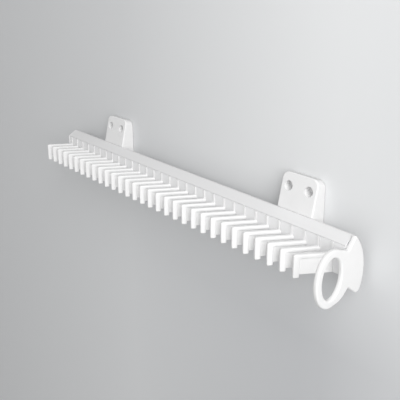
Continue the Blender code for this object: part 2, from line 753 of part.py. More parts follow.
def pull_outline():
    """The half-moon of the pull plate, which runs into the finger ring above and below."""
    arc_centre = (PULL_WALL_CLEARANCE + PULL_ARC_RADIUS, PULL_ARC_HEIGHT)
    first = math.pi - math.asin((PULL_ARC_TOP - PULL_ARC_HEIGHT) / PULL_ARC_RADIUS)
    last = math.pi + math.asin((PULL_ARC_HEIGHT - PULL_ARC_BOTTOM) / PULL_ARC_RADIUS)
    wall_side = arc(arc_centre, PULL_ARC_RADIUS, PULL_ARC_RADIUS, first, last, 3 * ARC_STEPS)
    ring_side = arc(
        (RING_DEPTH, RING_HEIGHT),
        RING_HOLE_REACH + RING_BAND,
        RING_HOLE_RISE + RING_BAND,
        RING_LOW_JOIN,
        RING_TOP_JOIN + 2 * math.pi,
        6 * ARC_STEPS,
    )
    corners = [(*point, 0) for point in wall_side]
    corners.append((PULL_TAIL_DEPTH, PULL_TAIL_HEIGHT, PULL_TAIL_RADIUS))
    corners.append((PULL_NOTCH_DEPTH, PULL_NOTCH_HEIGHT, PULL_NOTCH_RADIUS))
    corners.append((PULL_BELLY_DEPTH, PULL_BELLY_HEIGHT, PULL_BELLY_RADIUS))
    corners.extend((*point, 0) for point in ring_side)
    corners.append((PULL_VALLEY_DEPTH, PULL_VALLEY_HEIGHT, PULL_VALLEY_RADIUS))
    corners.append((PULL_HORN_DEPTH, PULL_HORN_HEIGHT, PULL_HORN_RADIUS))
    return rounded(corners)


def ring_hole():
    """The oval finger hole, run clockwise."""
    loop = arc((RING_DEPTH, RING_HEIGHT), RING_HOLE_REACH, RING_HOLE_RISE, 2 * math.pi, 0.0, 9 * ARC_STEPS)
    return loop[:-1]


def make_pull(carrier):
    """The pull plate, its finger ring and the tongue that holds it in the bar, moulded in one."""
    middle = PULL_BACK + PULL_THICKNESS / 2
    frame = section_frame(middle)
    plate = flat_mesh("pull_plate", pull_outline(), PULL_THICKNESS, frame, PULL_EDGE_RADIUS, ring_hole())
    pull = place("pull_plate", plate, PULL_WHITE)
    tongue_back = PLATE_BACK - FIT_GAP - PULL_TONGUE_DEPTH
    tongue = box_mesh(
        "pull_tongue",
        (PULL_BACK - PULL_TONGUE_LENGTH, tongue_back, FIT_GAP - FOOT_DROP),
        (middle, PLATE_BACK - FIT_GAP, SHELF_UNDER - RUN_GAP),
    )
    combine(pull, cutter("pull_tongue", tongue), "UNION")
    pull.parent = carrier


# Assembly


def make_carrier(name):
    """An empty that the pieces of one body hang on."""
    carrier = bpy.data.objects.new(name, None)
    PARTS.objects.link(carrier)
    return carrier


wall_mount = make_carrier("wall_mount")
make_brackets(wall_mount)
make_rail(wall_mount)
make_rail_cap(wall_mount)
make_rail_screws(wall_mount)
make_slide_stop(wall_mount)

tie_slide = make_carrier("tie_slide")
make_bar(tie_slide)
make_glide_shoe(tie_slide)
make_hooks(tie_slide)
make_pull(tie_slide)
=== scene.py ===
# %% [markdown]
# # A sliding tie rack
#
# The rack hangs on a wardrobe wall by two brackets. A guide rail with a sloping cover is screwed
# to them, and a bar with a row of angled tie hooks slides out of the rail by a pull plate with a
# finger ring. The packed model already holds every piece at its real size. This lesson makes the
# pieces again as a moulder would leave them, with soft edges and smooth arcs, and gives them
# white plastic and the light that shows it.
#
# The packed model is loaded first. It stays where it is and serves as the ruler: every new piece
# is drawn in the same frame, in the place of the node that it stands for.

# %% Load the packed model
import json
import math

import bmesh
import bpy
from mathutils import Matrix, Vector

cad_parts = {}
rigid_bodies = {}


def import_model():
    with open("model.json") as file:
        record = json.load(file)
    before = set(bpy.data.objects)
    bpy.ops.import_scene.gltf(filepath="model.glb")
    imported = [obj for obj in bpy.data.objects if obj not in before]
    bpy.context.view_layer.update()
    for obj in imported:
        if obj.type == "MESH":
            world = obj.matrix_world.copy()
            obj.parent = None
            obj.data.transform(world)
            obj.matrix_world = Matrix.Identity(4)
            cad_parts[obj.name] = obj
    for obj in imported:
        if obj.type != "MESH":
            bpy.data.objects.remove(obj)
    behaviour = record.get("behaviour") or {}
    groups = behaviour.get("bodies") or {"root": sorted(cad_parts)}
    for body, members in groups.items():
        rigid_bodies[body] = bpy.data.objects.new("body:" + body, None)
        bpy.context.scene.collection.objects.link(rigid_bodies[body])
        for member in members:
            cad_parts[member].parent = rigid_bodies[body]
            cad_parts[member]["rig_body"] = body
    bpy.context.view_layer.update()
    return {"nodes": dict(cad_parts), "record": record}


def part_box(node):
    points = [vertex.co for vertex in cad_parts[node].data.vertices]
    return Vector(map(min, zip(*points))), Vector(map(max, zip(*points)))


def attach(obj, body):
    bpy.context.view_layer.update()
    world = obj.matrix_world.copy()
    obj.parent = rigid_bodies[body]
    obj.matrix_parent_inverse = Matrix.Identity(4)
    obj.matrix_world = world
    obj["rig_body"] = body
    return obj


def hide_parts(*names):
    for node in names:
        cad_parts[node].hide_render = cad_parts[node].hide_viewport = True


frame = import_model()
NODES = frame["nodes"]
MM = 0.001

# %% [markdown]
# ## Camera
#
# The photograph looks along the rack from its pull ring, a little from above. A camera can be
# placed by eye, but here its place was worked out from the real sizes of the rack: the brackets,
# the hook tips and the ring fix the distance, the turn, the tilt and the small roll. The
# picture's middle isn't where the lens pointed, so the lens is shifted, which leaves upright
# lines as they are.

# %% Make the camera
CAMERA_PLACE = Vector((0.3099, -0.4036, 0.1872))
CAMERA_TURN = math.radians(48.86)
CAMERA_TILT = math.radians(15.9)
CAMERA_ROLL = math.radians(-0.35)
LENS_MM = 50.9
SENSOR_MM = 36.0
FRAME_SHIFT = -0.15
NEAREST_SEEN = 0.01


def make_camera():
    """The photograph's camera, in the rack's own frame."""
    data = bpy.data.cameras.new("photo_camera")
    data.lens = LENS_MM
    data.sensor_width = SENSOR_MM
    data.shift_y = FRAME_SHIFT
    data.clip_start = NEAREST_SEEN
    camera = bpy.data.objects.new("photo_camera", data)
    bpy.context.scene.collection.objects.link(camera)
    back = Vector((
        math.sin(CAMERA_TURN) * math.cos(CAMERA_TILT),
        -math.cos(CAMERA_TURN) * math.cos(CAMERA_TILT),
        math.sin(CAMERA_TILT),
    ))
    right = Vector((math.cos(CAMERA_TURN), math.sin(CAMERA_TURN), 0.0))
    up = back.cross(right)
    rolled_right = right * math.cos(CAMERA_ROLL) + up * math.sin(CAMERA_ROLL)
    rolled_up = up * math.cos(CAMERA_ROLL) - right * math.sin(CAMERA_ROLL)
    axes = Matrix((rolled_right, rolled_up, back)).transposed().to_4x4()
    camera.matrix_world = Matrix.Translation(CAMERA_PLACE) @ axes
    bpy.context.scene.camera = camera
    return camera


camera = make_camera()
print("camera at", [round(v, 3) for v in camera.location], "lens", LENS_MM, "mm")

# %% [markdown]
# ## Sums for shaders
#
# A finish is a little arithmetic on noise: a tone plus some mottle, a roughness plus some wear.
# It could be put together node by node, but that is hard to read. So a small class wraps a
# socket, and Python's own operators add the nodes: a Math node for numbers, a Vector Math node
# for places.

# %% A socket that takes part in sums
class Wire:
    """An output socket. A sum on wires adds a Math or Vector Math node to its tree."""

    def __init__(self, socket):
        self.socket = socket

    @classmethod
    def node(cls, tree, kind, settings=(), result=0, **values):
        """A new node of any kind: its settings are set first, then its sockets' values or links."""
        made = tree.nodes.new(kind)
        for name, value in dict(settings).items():
            if name == "stops":
                cls.set_stops(made.color_ramp, value)
            else:
                setattr(made, name, value)
        for name, value in values.items():
            cls.plug(tree, made.inputs[cls.key(name)], value)
        return cls(made.outputs[result])

    @staticmethod
    def key(name):
        """A socket's number from a name such as i2, or its own name with spaces."""
        return int(name[1:]) if name[1:].isdigit() else name.replace("_", " ")

    @staticmethod
    def set_stops(ramp, stops):
        """Sets a ramp's stops, each a place on the ramp and a colour."""
        while len(ramp.elements) < len(stops):
            ramp.elements.new(1.0)
        for element, (place, colour) in zip(ramp.elements, stops):
            element.position = place
            element.color = (*colour, 1.0)

    @staticmethod
    def plug(tree, target, value):
        """Links a wire into a socket, or sets a plain value on it."""
        if isinstance(value, Wire):
            tree.links.new(value.socket, target)
        else:
            target.default_value = value

    def combine(self, operation, first, second):
        """The result of an operation on two values, at least one of them this wire."""
        kind = "ShaderNodeVectorMath" if self.socket.type == "VECTOR" else "ShaderNodeMath"
        return Wire.node(self.socket.id_data, kind, {"operation": operation}, i0=first, i1=second)

    def __add__(self, other):
        return self.combine("ADD", self, other)

    def __radd__(self, other):
        return self.combine("ADD", other, self)

    def __mul__(self, other):
        return self.combine("MULTIPLY", self, other)

    def __rmul__(self, other):
        return self.combine("MULTIPLY", other, self)


print("a wire:", Wire.__doc__)

# %% [markdown]
# ## Noise on a piece
#
# No two mouldings are marked alike, but all hooks here share one mesh and one finish. Each could
# get a material of its own; instead one material shifts its noise by the random number that
# Blender gives to every object. On an extruded length the noise is stretched, because the die
# draws marks along it.

# %% Noise in a piece's own place
PIECE_SHIFT = {"X": 7.0, "Y": 3.0, "Z": 5.0}
EVEN_GRAIN = (1.0, 1.0, 1.0)
DRAWN_GRAIN = (0.06, 1.0, 1.0)


def new_finish(name):
    """An empty material with its tree and its Principled shader."""
    material = bpy.data.materials.new(name)
    material.use_nodes = True
    return material, material.node_tree, material.node_tree.nodes["Principled BSDF"]


def own_place(tree, stretch):
    """A place on the piece, stretched along its grain and shifted by the piece's own random amount."""
    place = Wire.node(tree, "ShaderNodeTexCoord", result="Object")
    chance = Wire.node(tree, "ShaderNodeObjectInfo", result="Random")
    shifts = {axis: chance * far for axis, far in PIECE_SHIFT.items()}
    return place * stretch + Wire.node(tree, "ShaderNodeCombineXYZ", **shifts)


def noise(tree, place, per_metre, detail):
    """Soft noise from 0 to 1, with so many waves in a metre."""
    return Wire.node(tree, "ShaderNodeTexNoise", Vector=place, Scale=per_metre, Detail=detail)


def shaded(tree, share, dark, light):
    """A colour between two stops of a ramp, each a place on the ramp and a colour."""
    return Wire.node(tree, "ShaderNodeValToRGB", {"stops": (dark, light)}, Fac=share)


print("drawn marks are", round(1 / DRAWN_GRAIN[0]), "times as long as wide")

# %% [markdown]
# ## White plastic
#
# All pieces that show are white plastic, but not the same one. Brackets, hooks and pull plate are
# moulded: a fine even grain from the tool's spark-eroded face, and a slow mottle where the melt
# cooled. The rail and the bar are extruded, so their grain runs along their length. One flat
# white would be quicker, but it would look like paper, so tone, roughness and a tiny bump all
# vary.

# %% Moulded and extruded white
MOTTLE_PER_METRE = 45.0
MOTTLE_DETAIL = 3.0
GRAIN_DETAIL = 2.0
MOTTLE_SHARE = 0.8
GRAIN_SHARE = 0.2
DULL_STOP = 0.30
FULL_STOP = 0.70
DULL_TONE = 0.965
ROUGHNESS_BELOW_MEAN = 0.06
MOTTLE_ROUGHNESS = 0.07
GRAIN_ROUGHNESS = 0.05
GRAIN_BUMP = 0.12
GRAIN_DEPTH = 0.05 * MM
PLASTIC_IOR = 1.49


def white_plastic(name, tone, roughness, grain_mm, stretch=EVEN_GRAIN):
    """White plastic: a tone near white, a mean roughness, and a grain of a real size."""
    material, tree, shader = new_finish(name)
    place = own_place(tree, stretch)
    mottle = noise(tree, place, MOTTLE_PER_METRE, MOTTLE_DETAIL)
    grain = noise(tree, place, 1.0 / (grain_mm * MM), GRAIN_DETAIL)
    dull = [DULL_TONE * channel for channel in tone]
    marks = mottle * MOTTLE_SHARE + grain * GRAIN_SHARE
    wear = roughness - ROUGHNESS_BELOW_MEAN + mottle * MOTTLE_ROUGHNESS + grain * GRAIN_ROUGHNESS
    bump = Wire.node(tree, "ShaderNodeBump", Strength=GRAIN_BUMP, Distance=GRAIN_DEPTH, Height=grain)
    shade = shaded(tree, marks, (DULL_STOP, dull), (FULL_STOP, tone))
    Wire.plug(tree, shader.inputs["Base Color"], shade)
    Wire.plug(tree, shader.inputs["Roughness"], wear)
    Wire.plug(tree, shader.inputs["Normal"], bump)
    shader.inputs["IOR"].default_value = PLASTIC_IOR
    return material


BRACKET_WHITE = white_plastic("bracket_white", (0.90, 0.90, 0.90), 0.46, 0.6)
HOOK_WHITE = white_plastic("hook_white", (0.91, 0.91, 0.91), 0.40, 0.5)
PULL_WHITE = white_plastic("pull_white", (0.90, 0.90, 0.90), 0.34, 0.8)
# The rail and the bar are both extruded white, but their tones differ: partly their own plastic, partly
# painted shade on the rail's brightly lit cover and painted light on the bar's panel, which lies in the
# cover's shade.
RAIL_WHITE_WITH_PAINTED_SHADE = white_plastic("rail_white", (0.845, 0.845, 0.85), 0.40, 0.6, DRAWN_GRAIN)
BAR_WHITE_WITH_PAINTED_LIGHT = white_plastic("bar_white", (0.93, 0.93, 0.935), 0.45, 0.6, DRAWN_GRAIN)
print("each white has", len(HOOK_WHITE.node_tree.nodes), "shader nodes")

# %% [markdown]
# ## Zinc
#
# The rail's screws and the slide's stop are plated steel. They hide behind the bar, but show in
# the rail when the slide is out. Plain metal would do for so little; zinc has a cloudy bloom,
# though, and one more noise in the colour and the roughness gives it.

# %% Zinc of the hidden screws
BLOOM_PER_METRE = 400.0
BLOOM_DETAIL = 4.0
ZINC_DULL = (0.50, 0.50, 0.53)
ZINC_BRIGHT = (0.70, 0.70, 0.69)
ZINC_DULL_STOP = 0.25
ZINC_BRIGHT_STOP = 0.75
ZINC_ROUGHNESS = 0.25
BLOOM_ROUGHNESS = 0.25


def zinc_plate(name):
    """Zinc-plated steel: a bright metal with a cloudy bloom."""
    material, tree, shader = new_finish(name)
    bloom = noise(tree, own_place(tree, EVEN_GRAIN), BLOOM_PER_METRE, BLOOM_DETAIL)
    shade = shaded(tree, bloom, (ZINC_DULL_STOP, ZINC_DULL), (ZINC_BRIGHT_STOP, ZINC_BRIGHT))
    Wire.plug(tree, shader.inputs["Base Color"], shade)
    Wire.plug(tree, shader.inputs["Roughness"], ZINC_ROUGHNESS + bloom * BLOOM_ROUGHNESS)
    shader.inputs["Metallic"].default_value = 1.0
    return material


SCREW_ZINC = zinc_plate("screw_zinc")
print("screws:", SCREW_ZINC.name, "of", len(SCREW_ZINC.node_tree.nodes), "shader nodes")

# %% [markdown]
# ## A finish for every node
#
# The packed record names a material slot for each node. The finishes could be given by hand,
# piece by piece; a table from slot to finish does all at once. The glide shoe and the slide stop
# keep their packed shapes and only take their finish from it, and the new pieces below look
# theirs up there too.

# %% Give every node its finish
FINISH_OF_SLOT = {
    "bracket_white": BRACKET_WHITE,
    "rail_white": RAIL_WHITE_WITH_PAINTED_SHADE,
    "bar_white": BAR_WHITE_WITH_PAINTED_LIGHT,
    "hook_white": HOOK_WHITE,
    "pull_white": PULL_WHITE,
    "screw_steel": SCREW_ZINC,
}
SLOT_OF = {part["node"]: part["material_slot"] for part in frame["record"]["subparts"]}


def dress(obj, finish):
    """Gives an object one finish all over."""
    obj.data.materials.clear()
    obj.data.materials.append(finish)


for node, slot in SLOT_OF.items():
    dress(NODES[node], FINISH_OF_SLOT[slot])
print("dressed", len(SLOT_OF), "nodes")

# %% [markdown]
# ## Measures
#
# Everything on the rack is measured along the rail, out from the wall, and up from the top of the
# hook arms, which is the line that the eye follows in the photograph. The packed model tells
# where these lines are, so they are asked from it and not typed again. The sizes of the pieces
# below are in millimetres, as on a maker's drawing; the stage and the lamps are in metres.

# %% Where the rack's lines are
POST_HEIGHT = 22.1
ARM_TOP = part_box("hook_01")[0].z + POST_HEIGHT * MM


def ends(node, way):
    """A node's two ends in mm, along the rail, out from the wall or up from the arms."""
    low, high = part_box(node)
    if way == "out":
        return -high.y / MM, -low.y / MM
    if way == "up":
        return (low.z - ARM_TOP) / MM, (high.z - ARM_TOP) / MM
    return low.x / MM, high.x / MM


def across_rail(x):
    """Frame for an outline across the rail, drawn out and up; its thickness runs along the rail."""
    return Matrix(((0, 0, -1, x * MM), (-1, 0, 0, 0), (0, 1, 0, ARM_TOP), (0, 0, 0, 1)))


def facing_out(out):
    """Frame for an outline seen from the front, drawn along the rail and up; its thickness runs out."""
    return Matrix(((1, 0, 0, 0), (0, 0, -1, -out * MM), (0, 1, 0, ARM_TOP), (0, 0, 0, 1)))


RAIL_BACK, COVER_EDGE_OUT = ends("guide_rail", "out")
RAIL_BOTTOM, RAIL_TOP = ends("guide_rail", "up")
RAIL_REAR, RAIL_FRONT = ends("guide_rail", "along")
LEG_BACK, PANEL_OUT = ends("slide_bar", "out")
BAR_BOTTOM, BAR_TOP = ends("slide_bar", "up")
BAR_REAR, BAR_FRONT = ends("slide_bar", "along")
print("rail", round(RAIL_FRONT - RAIL_REAR, 1), "mm long")
print("bar panel", round(PANEL_OUT, 1), "mm off the wall")

# %% [markdown]
# ## Outlines
#
# Moulded and extruded pieces are outlines with a thickness, and neither a mould nor a die leaves
# a corner quite sharp. The points of an arc could be typed in; here each corner is given with its
# radius, as on a drawing, and one helper works out the points.

# %% Round corners in an outline
ARC_TURN = math.radians(11)
FEWEST_STEPS = 2


def rounded(corners):
    """An outline of (across, up, radius) corners, with an arc wherever the radius isn't 0."""
    outline = []
    for place, (across, up, radius) in enumerate(corners):
        corner = Vector((across, up))
        if not radius:
            outline.append(corner)
            continue
        before = (Vector(corners[place - 1][:2]) - corner).normalized()
        after = (Vector(corners[(place + 1) % len(corners)][:2]) - corner).normalized()
        half = before.angle(after) / 2
        reach = radius / math.tan(half)
        middle = corner + (before + after).normalized() * (radius / math.sin(half))
        start = corner + before * reach - middle
        end = corner + after * reach - middle
        sweep = start.angle_signed(end)
        steps = max(FEWEST_STEPS, math.ceil(abs(sweep) / ARC_TURN))
        turns = [Matrix.Rotation(-sweep * step / steps, 2) for step in range(steps + 1)]
        outline.extend(middle + turn @ start for turn in turns)
    return outline


def oval(centre, reach, rise, start, end, steps):
    """Points of an oval arc with half axes reach (across) and rise (up)."""
    angles = [start + (end - start) * step / steps for step in range(steps + 1)]
    return [Vector((centre[0] + reach * math.cos(a), centre[1] + rise * math.sin(a))) for a in angles]


print("a quarter circle has", len(rounded([(0, 0, 0), (9, 0, 2), (9, 9, 0)])) - 2, "points")

# %% [markdown]
# ## Solids from outlines
#
# A length of rail and a flat moulding are both an outline with a thickness. They could be built
# face by face, but a 2D curve does it better: it fills its outline, leaves its holes open and
# rounds its own rims. The mesh that the curve shows is then welded and moved to its place on the
# rack.

# %% Make solids from outlines
WELD = 0.001 * MM
RIM_TURNS = 3


def settle(holder, place=Matrix()):
    """The mesh that a helper object shows, welded and moved into place; the helper goes."""
    bpy.context.scene.collection.objects.link(holder)
    bpy.context.view_layer.update()
    graph = bpy.context.evaluated_depsgraph_get()
    mesh = bpy.data.meshes.new_from_object(holder.evaluated_get(graph))
    bpy.data.objects.remove(holder)
    mesh.transform(place)
    work = bmesh.new()
    work.from_mesh(mesh)
    bmesh.ops.remove_doubles(work, verts=work.verts, dist=WELD)
    bmesh.ops.dissolve_degenerate(work, edges=work.edges, dist=WELD)
    bmesh.ops.recalc_face_normals(work, faces=work.faces)
    work.to_mesh(mesh)
    work.free()
    return mesh


def plate(loops, thickness, place, edge=0.0):
    """An outline with a thickness, its rims rounded by edge. Loops after the first are holes."""
    curve = bpy.data.curves.new("plate", "CURVE")
    curve.dimensions = "2D"
    curve.fill_mode = "BOTH"
    curve.extrude = (thickness / 2 - edge) * MM
    curve.bevel_depth = edge * MM
    curve.bevel_resolution = RIM_TURNS
    curve.offset = -edge * MM
    for number, loop in enumerate(loops):
        turn = sum(a[0] * b[1] - b[0] * a[1] for a, b in zip(loop, loop[1:] + loop[:1]))
        runs_right = (turn > 0) == (number == 0)
        spline = curve.splines.new("POLY")
        spline.points.add(len(loop) - 1)
        for point, (across, up) in zip(spline.points, loop if runs_right else loop[::-1]):
            point.co = (across * MM, up * MM, 0.0, 1.0)
        spline.use_cyclic_u = True
    return settle(bpy.data.objects.new("plate", curve), place)


def length_of(outline, start, end, edge=0.0):
    """An outline across the rail, drawn along it from start to end."""
    return plate([outline], end - start, across_rail((start + end) / 2), edge)


print("a rounded rim has", RIM_TURNS + 1, "steps")

# %% [markdown]
# ## Blocks and rods
#
# Bores, bosses, tongues and screw shanks are plain blocks and rods. Blender's own add-a-cube
# operators need a selection and a mode, so the shapes come from bmesh, in the rack's measures.
# None of them is a piece by itself: they are joined to others or cut out of them.

# %% Make blocks and rods
ROUND_SIDES = 48
QUARTER_TURN = math.radians(90)


def mesh_of(work, name):
    """A mesh from a finished bmesh, which is freed."""
    mesh = bpy.data.meshes.new(name)
    work.to_mesh(mesh)
    work.free()
    return mesh


def block(low, high):
    """A box between two corners, each given along, out and up."""
    near, far = (Vector((x * MM, -out * MM, ARM_TOP + up * MM)) for x, out, up in (low, high))
    size = Matrix.Diagonal((*(abs(side) for side in far - near), 1.0))
    work = bmesh.new()
    bmesh.ops.create_cube(work, size=1.0, matrix=Matrix.Translation((near + far) / 2) @ size)
    return mesh_of(work, "block")


def rods(places, near, far):
    """Round rods out from the wall at (along, up) places, between two (out, diameter) ends."""
    work = bmesh.new()
    for x, up in places:
        spot = Matrix.Translation((x * MM, -(near[0] + far[0]) / 2 * MM, ARM_TOP + up * MM))
        bmesh.ops.create_cone(
            work,
            cap_ends=True,
            segments=ROUND_SIDES,
            radius1=near[1] / 2 * MM,
            radius2=far[1] / 2 * MM,
            depth=(far[0] - near[0]) * MM,
            matrix=spot @ Matrix.Rotation(QUARTER_TURN, 4, "X"),
        )
    return mesh_of(work, "rods")


print("rods have", ROUND_SIDES, "sides")

# %% [markdown]
# ## Join, cut and soften
#
# On the real pieces bosses, bores and ribs flow out of one moulding. Such forms can be modelled
# as one mesh by hand, but Boolean modifiers join and cut them just as the maker's drawing says,
# and a bevel modifier takes the last sharp corners. Each helper returns the finished mesh, so
# nothing is left to apply.

# %% Join, cut and soften meshes
BEVEL_FROM = math.radians(40)


def carve(mesh, *steps):
    """A mesh after Boolean steps, each given as an operation and a tool mesh."""
    holder = bpy.data.objects.new("carved", mesh)
    tools = []
    for operation, tool_mesh in steps:
        tool = bpy.data.objects.new("tool", tool_mesh)
        bpy.context.scene.collection.objects.link(tool)
        tools.append(tool)
        step = holder.modifiers.new(operation, "BOOLEAN")
        step.operation = operation
        step.object = tool
    made = settle(holder)
    for tool in tools:
        bpy.data.objects.remove(tool)
    return made


def soften(mesh, width, turns):
    """A mesh with its sharp corners rounded."""
    holder = bpy.data.objects.new("softened", mesh)
    edge = holder.modifiers.new("edge", "BEVEL")
    edge.width = width * MM
    edge.segments = turns
    edge.limit_method = "ANGLE"
    edge.angle_limit = BEVEL_FROM
    return settle(holder)


print("corners over", round(math.degrees(BEVEL_FROM)), "degrees are softened")

# %% [markdown]
# ## A piece in a node's place
#
# A finished mesh becomes a piece of the rack: it rides on the same body as its node, hides that
# node and takes the finish of its slot. Smooth shading with a limit on the angle keeps flat faces
# flat and arcs round, and weighted normals hold the shine on large faces even beside small rims,
# with no added faces.

# %% Put a piece in a node's place
SHARP_FROM = math.radians(32)


def new_piece(node, mesh, shift=0.0):
    """A finer piece in a node's place: on the same body, with the finish of its slot."""
    piece = bpy.data.objects.new(node + "_piece", mesh)
    piece.location.x = shift
    bpy.context.scene.collection.objects.link(piece)
    dress(piece, FINISH_OF_SLOT[SLOT_OF[node]])
    mesh.shade_smooth()
    mesh.set_sharp_from_angle(angle=SHARP_FROM)
    even = piece.modifiers.new("even_faces", "WEIGHTED_NORMAL")
    even.keep_sharp = True
    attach(piece, NODES[node]["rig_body"])
    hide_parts(node)
    return piece


print("edges over", round(math.degrees(SHARP_FROM)), "degrees stay sharp")

# %% [markdown]
# ## Wall brackets: the wedge
#
# Each bracket is a moulded wedge, thin at the top and thicker at the ledge where the rail hangs,
# with two round top corners. It could be a block with moved points, but then its round corners
# would lean too. Here its outline from the side, drawn along the rail, meets its outline from the
# front, and what both share is softened before anything is bored, so that the bores keep crisp
# rims.

# %% Make the wedge
BRACKET_BOTTOM = ends("bracket_front", "up")[0]
BRACKET_LEFT, BRACKET_RIGHT = ends("bracket_front", "along")
BRACKET_TOP = 51.5
BRACKET_SKIN = 2.4
BRACKET_EDGE = 1.4
BRACKET_EDGE_TURNS = 4
FIT_GAP = 0.3
LEDGE = RAIL_TOP + FIT_GAP
LEDGE_OUT = 17.5
TOP_OUT = 9.3
TOP_FALL = 3.0
TOP_CORNER = 7.0
TOP_SLOPE = TOP_FALL / TOP_OUT
FRONT_LEAN = (LEDGE_OUT - TOP_OUT) / (BRACKET_TOP - LEDGE)
PAST_FRONT = 2 * LEDGE_OUT
PAST_BOTTOM = 2 * BRACKET_BOTTOM


def wedge_mesh():
    """The bracket's outside, with round top corners and a top that falls towards the wall."""
    past = BRACKET_SKIN
    side = [
        (-past, BRACKET_BOTTOM),
        (LEDGE_OUT, BRACKET_BOTTOM),
        (LEDGE_OUT, LEDGE),
        (TOP_OUT - past * FRONT_LEAN, BRACKET_TOP + past),
        (-past, BRACKET_TOP + past),
    ]
    front = rounded([
        (BRACKET_LEFT, PAST_BOTTOM, 0),
        (BRACKET_RIGHT, PAST_BOTTOM, 0),
        (BRACKET_RIGHT, BRACKET_TOP, TOP_CORNER),
        (BRACKET_LEFT, BRACKET_TOP, TOP_CORNER),
    ])
    fall = Matrix.Identity(4)
    fall[2][1] = -TOP_SLOPE
    fall[2][3] = -TOP_FALL * MM
    face = plate([front], 2 * PAST_FRONT, facing_out(0.0))
    face.transform(fall)
    body = carve(length_of(side, BRACKET_LEFT, BRACKET_RIGHT), ("INTERSECT", face))
    return soften(body, BRACKET_EDGE, BRACKET_EDGE_TURNS)


wedge = wedge_mesh()
print("wedge:", len(wedge.polygons), "faces")

# %% [markdown]
# ## Wall brackets: the hollow
#
# A moulder cores a bracket from behind, so that its walls cool evenly, and leaves a boss round
# each screw with a bridge between the upper two. The hollow could be made by offsetting the
# outside, but the bosses would have to be added to it again. So the hollow is a solid of its own,
# with the bosses cut out of it.

# %% Make the hollow
SEAT_OUT = 16.5
SCREW_LINE = 38.7
WALL_SCREWS = [(-11.85, SCREW_LINE), (11.85, SCREW_LINE)]
RAIL_SCREWS = [(-10.0, -3.7), (10.0, -3.7)]
WALL_BOSS = 12.8
RAIL_BOSS = 8.0
BRIDGE = 4.0


def hollow_mesh():
    """The hollow behind the bracket's skin, less the bosses round its screws."""
    skin = BRACKET_SKIN
    slant = skin * math.hypot(1.0, FRONT_LEAN)
    sill = LEDGE + skin
    roof = BRACKET_TOP - skin * math.hypot(1.0, TOP_SLOPE)
    roof_out = TOP_OUT + skin * FRONT_LEAN - slant
    side = [
        (-skin, BRACKET_BOTTOM + skin),
        (SEAT_OUT - skin, BRACKET_BOTTOM + skin),
        (SEAT_OUT - skin, sill),
        (TOP_OUT + (BRACKET_TOP - sill) * FRONT_LEAN - slant, sill),
        (roof_out, roof - (TOP_OUT - roof_out) * TOP_SLOPE),
        (-skin, roof - (TOP_OUT + skin) * TOP_SLOPE),
    ]
    left, right = (x for x, _ in WALL_SCREWS)
    bridge_low = (left, -PAST_FRONT, SCREW_LINE - BRIDGE / 2)
    bridge_high = (right, PAST_FRONT, SCREW_LINE + BRIDGE / 2)
    return carve(
        length_of(side, BRACKET_LEFT + skin, BRACKET_RIGHT - skin),
        ("DIFFERENCE", rods(WALL_SCREWS, (-PAST_FRONT, WALL_BOSS), (PAST_FRONT, WALL_BOSS))),
        ("DIFFERENCE", rods(RAIL_SCREWS, (-PAST_FRONT, RAIL_BOSS), (PAST_FRONT, RAIL_BOSS))),
        ("DIFFERENCE", block(bridge_low, bridge_high)),
    )


hollow = hollow_mesh()
print("hollow:", len(hollow.polygons), "faces")

# %% [markdown]
# ## Wall brackets: the bores
#
# Two deep bores take the heads of the wall screws, with a floor that a thinner hole goes through,
# and two pilots below take the rail's screws. Moulded bores are straight pins in the tool, so
# straight rods cut them. Both brackets come from one mould and share one mesh.

# %% Bore and hang the brackets
HEAD_BORE = 9.6
SHANK_BORE = 4.5
BORE_FLOOR = 3.5
PILOT = 3.8
PILOT_END = 7.3
RIM_EDGE = 0.35
RIM_EDGE_TURNS = 2


def bracket_mesh():
    """A bracket: the wedge, flat at the wall and at its seat, cored and bored."""
    wide = 2 * BRACKET_RIGHT
    return carve(
        wedge,
        ("DIFFERENCE", block((-wide, -PAST_FRONT, PAST_BOTTOM), (wide, 0.0, 2 * BRACKET_TOP))),
        ("DIFFERENCE", block((-wide, SEAT_OUT, PAST_BOTTOM), (wide, PAST_FRONT, LEDGE))),
        ("DIFFERENCE", hollow),
        ("DIFFERENCE", rods(WALL_SCREWS, (BORE_FLOOR, HEAD_BORE), (PAST_FRONT, HEAD_BORE))),
        ("DIFFERENCE", rods(WALL_SCREWS, (-PAST_FRONT, SHANK_BORE), (2 * BORE_FLOOR, SHANK_BORE))),
        ("DIFFERENCE", rods(RAIL_SCREWS, (PILOT_END, PILOT), (PAST_FRONT, PILOT))),
    )


shared = soften(bracket_mesh(), RIM_EDGE, RIM_EDGE_TURNS)
for node in ("bracket_front", "bracket_rear"):
    new_piece(node, shared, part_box(node)[0].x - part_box("bracket_front")[0].x)
print("bracket:", len(shared.polygons), "faces")

# %% [markdown]
# ## Guide rail
#
# The rail is one extruded profile: a back wall against the brackets, a sloping cover that hides
# the slide from above, and a small shelf with a lip that the bar hangs on. Separate strips would
# show seams, so the whole profile is one outline drawn along its length. A die rounds every
# corner a little, and the saw's burr is broken at both ends. Four countersinks let the screws sit
# flush, so that the bar can pass over them. The near end comes close to the pull plate, because
# the photograph shows hardly any gap there.

# %% The rail's measures
RAIL_SKIN = 1.8
RAIL_INSIDE = RAIL_BACK + RAIL_SKIN
COVER_TOP_OUT = 18.6
COVER_EDGE_UP = 9.74
COVER_SKIN = 2.2
COVER_SLOPE = (RAIL_TOP - COVER_EDGE_UP) / (COVER_EDGE_OUT - COVER_TOP_OUT)
COVER_RISE = COVER_SKIN * math.hypot(1.0, COVER_SLOPE)
SHELF_TOP = 3.0
SHELF_UNDER = 1.0
LIP_BACK = 22.0
LIP_OUT = 23.5
LIP_TOP = 6.6
TIGHT_CORNER = 0.3
INNER_CORNER = 0.4
OUTER_CORNER = 0.5
COVER_CORNER = 1.5
END_EDGE = 0.2
PULL_STAND_OFF = 3.0
PULL_BACK = RAIL_FRONT + PULL_STAND_OFF
PULL_GAP = 0.4


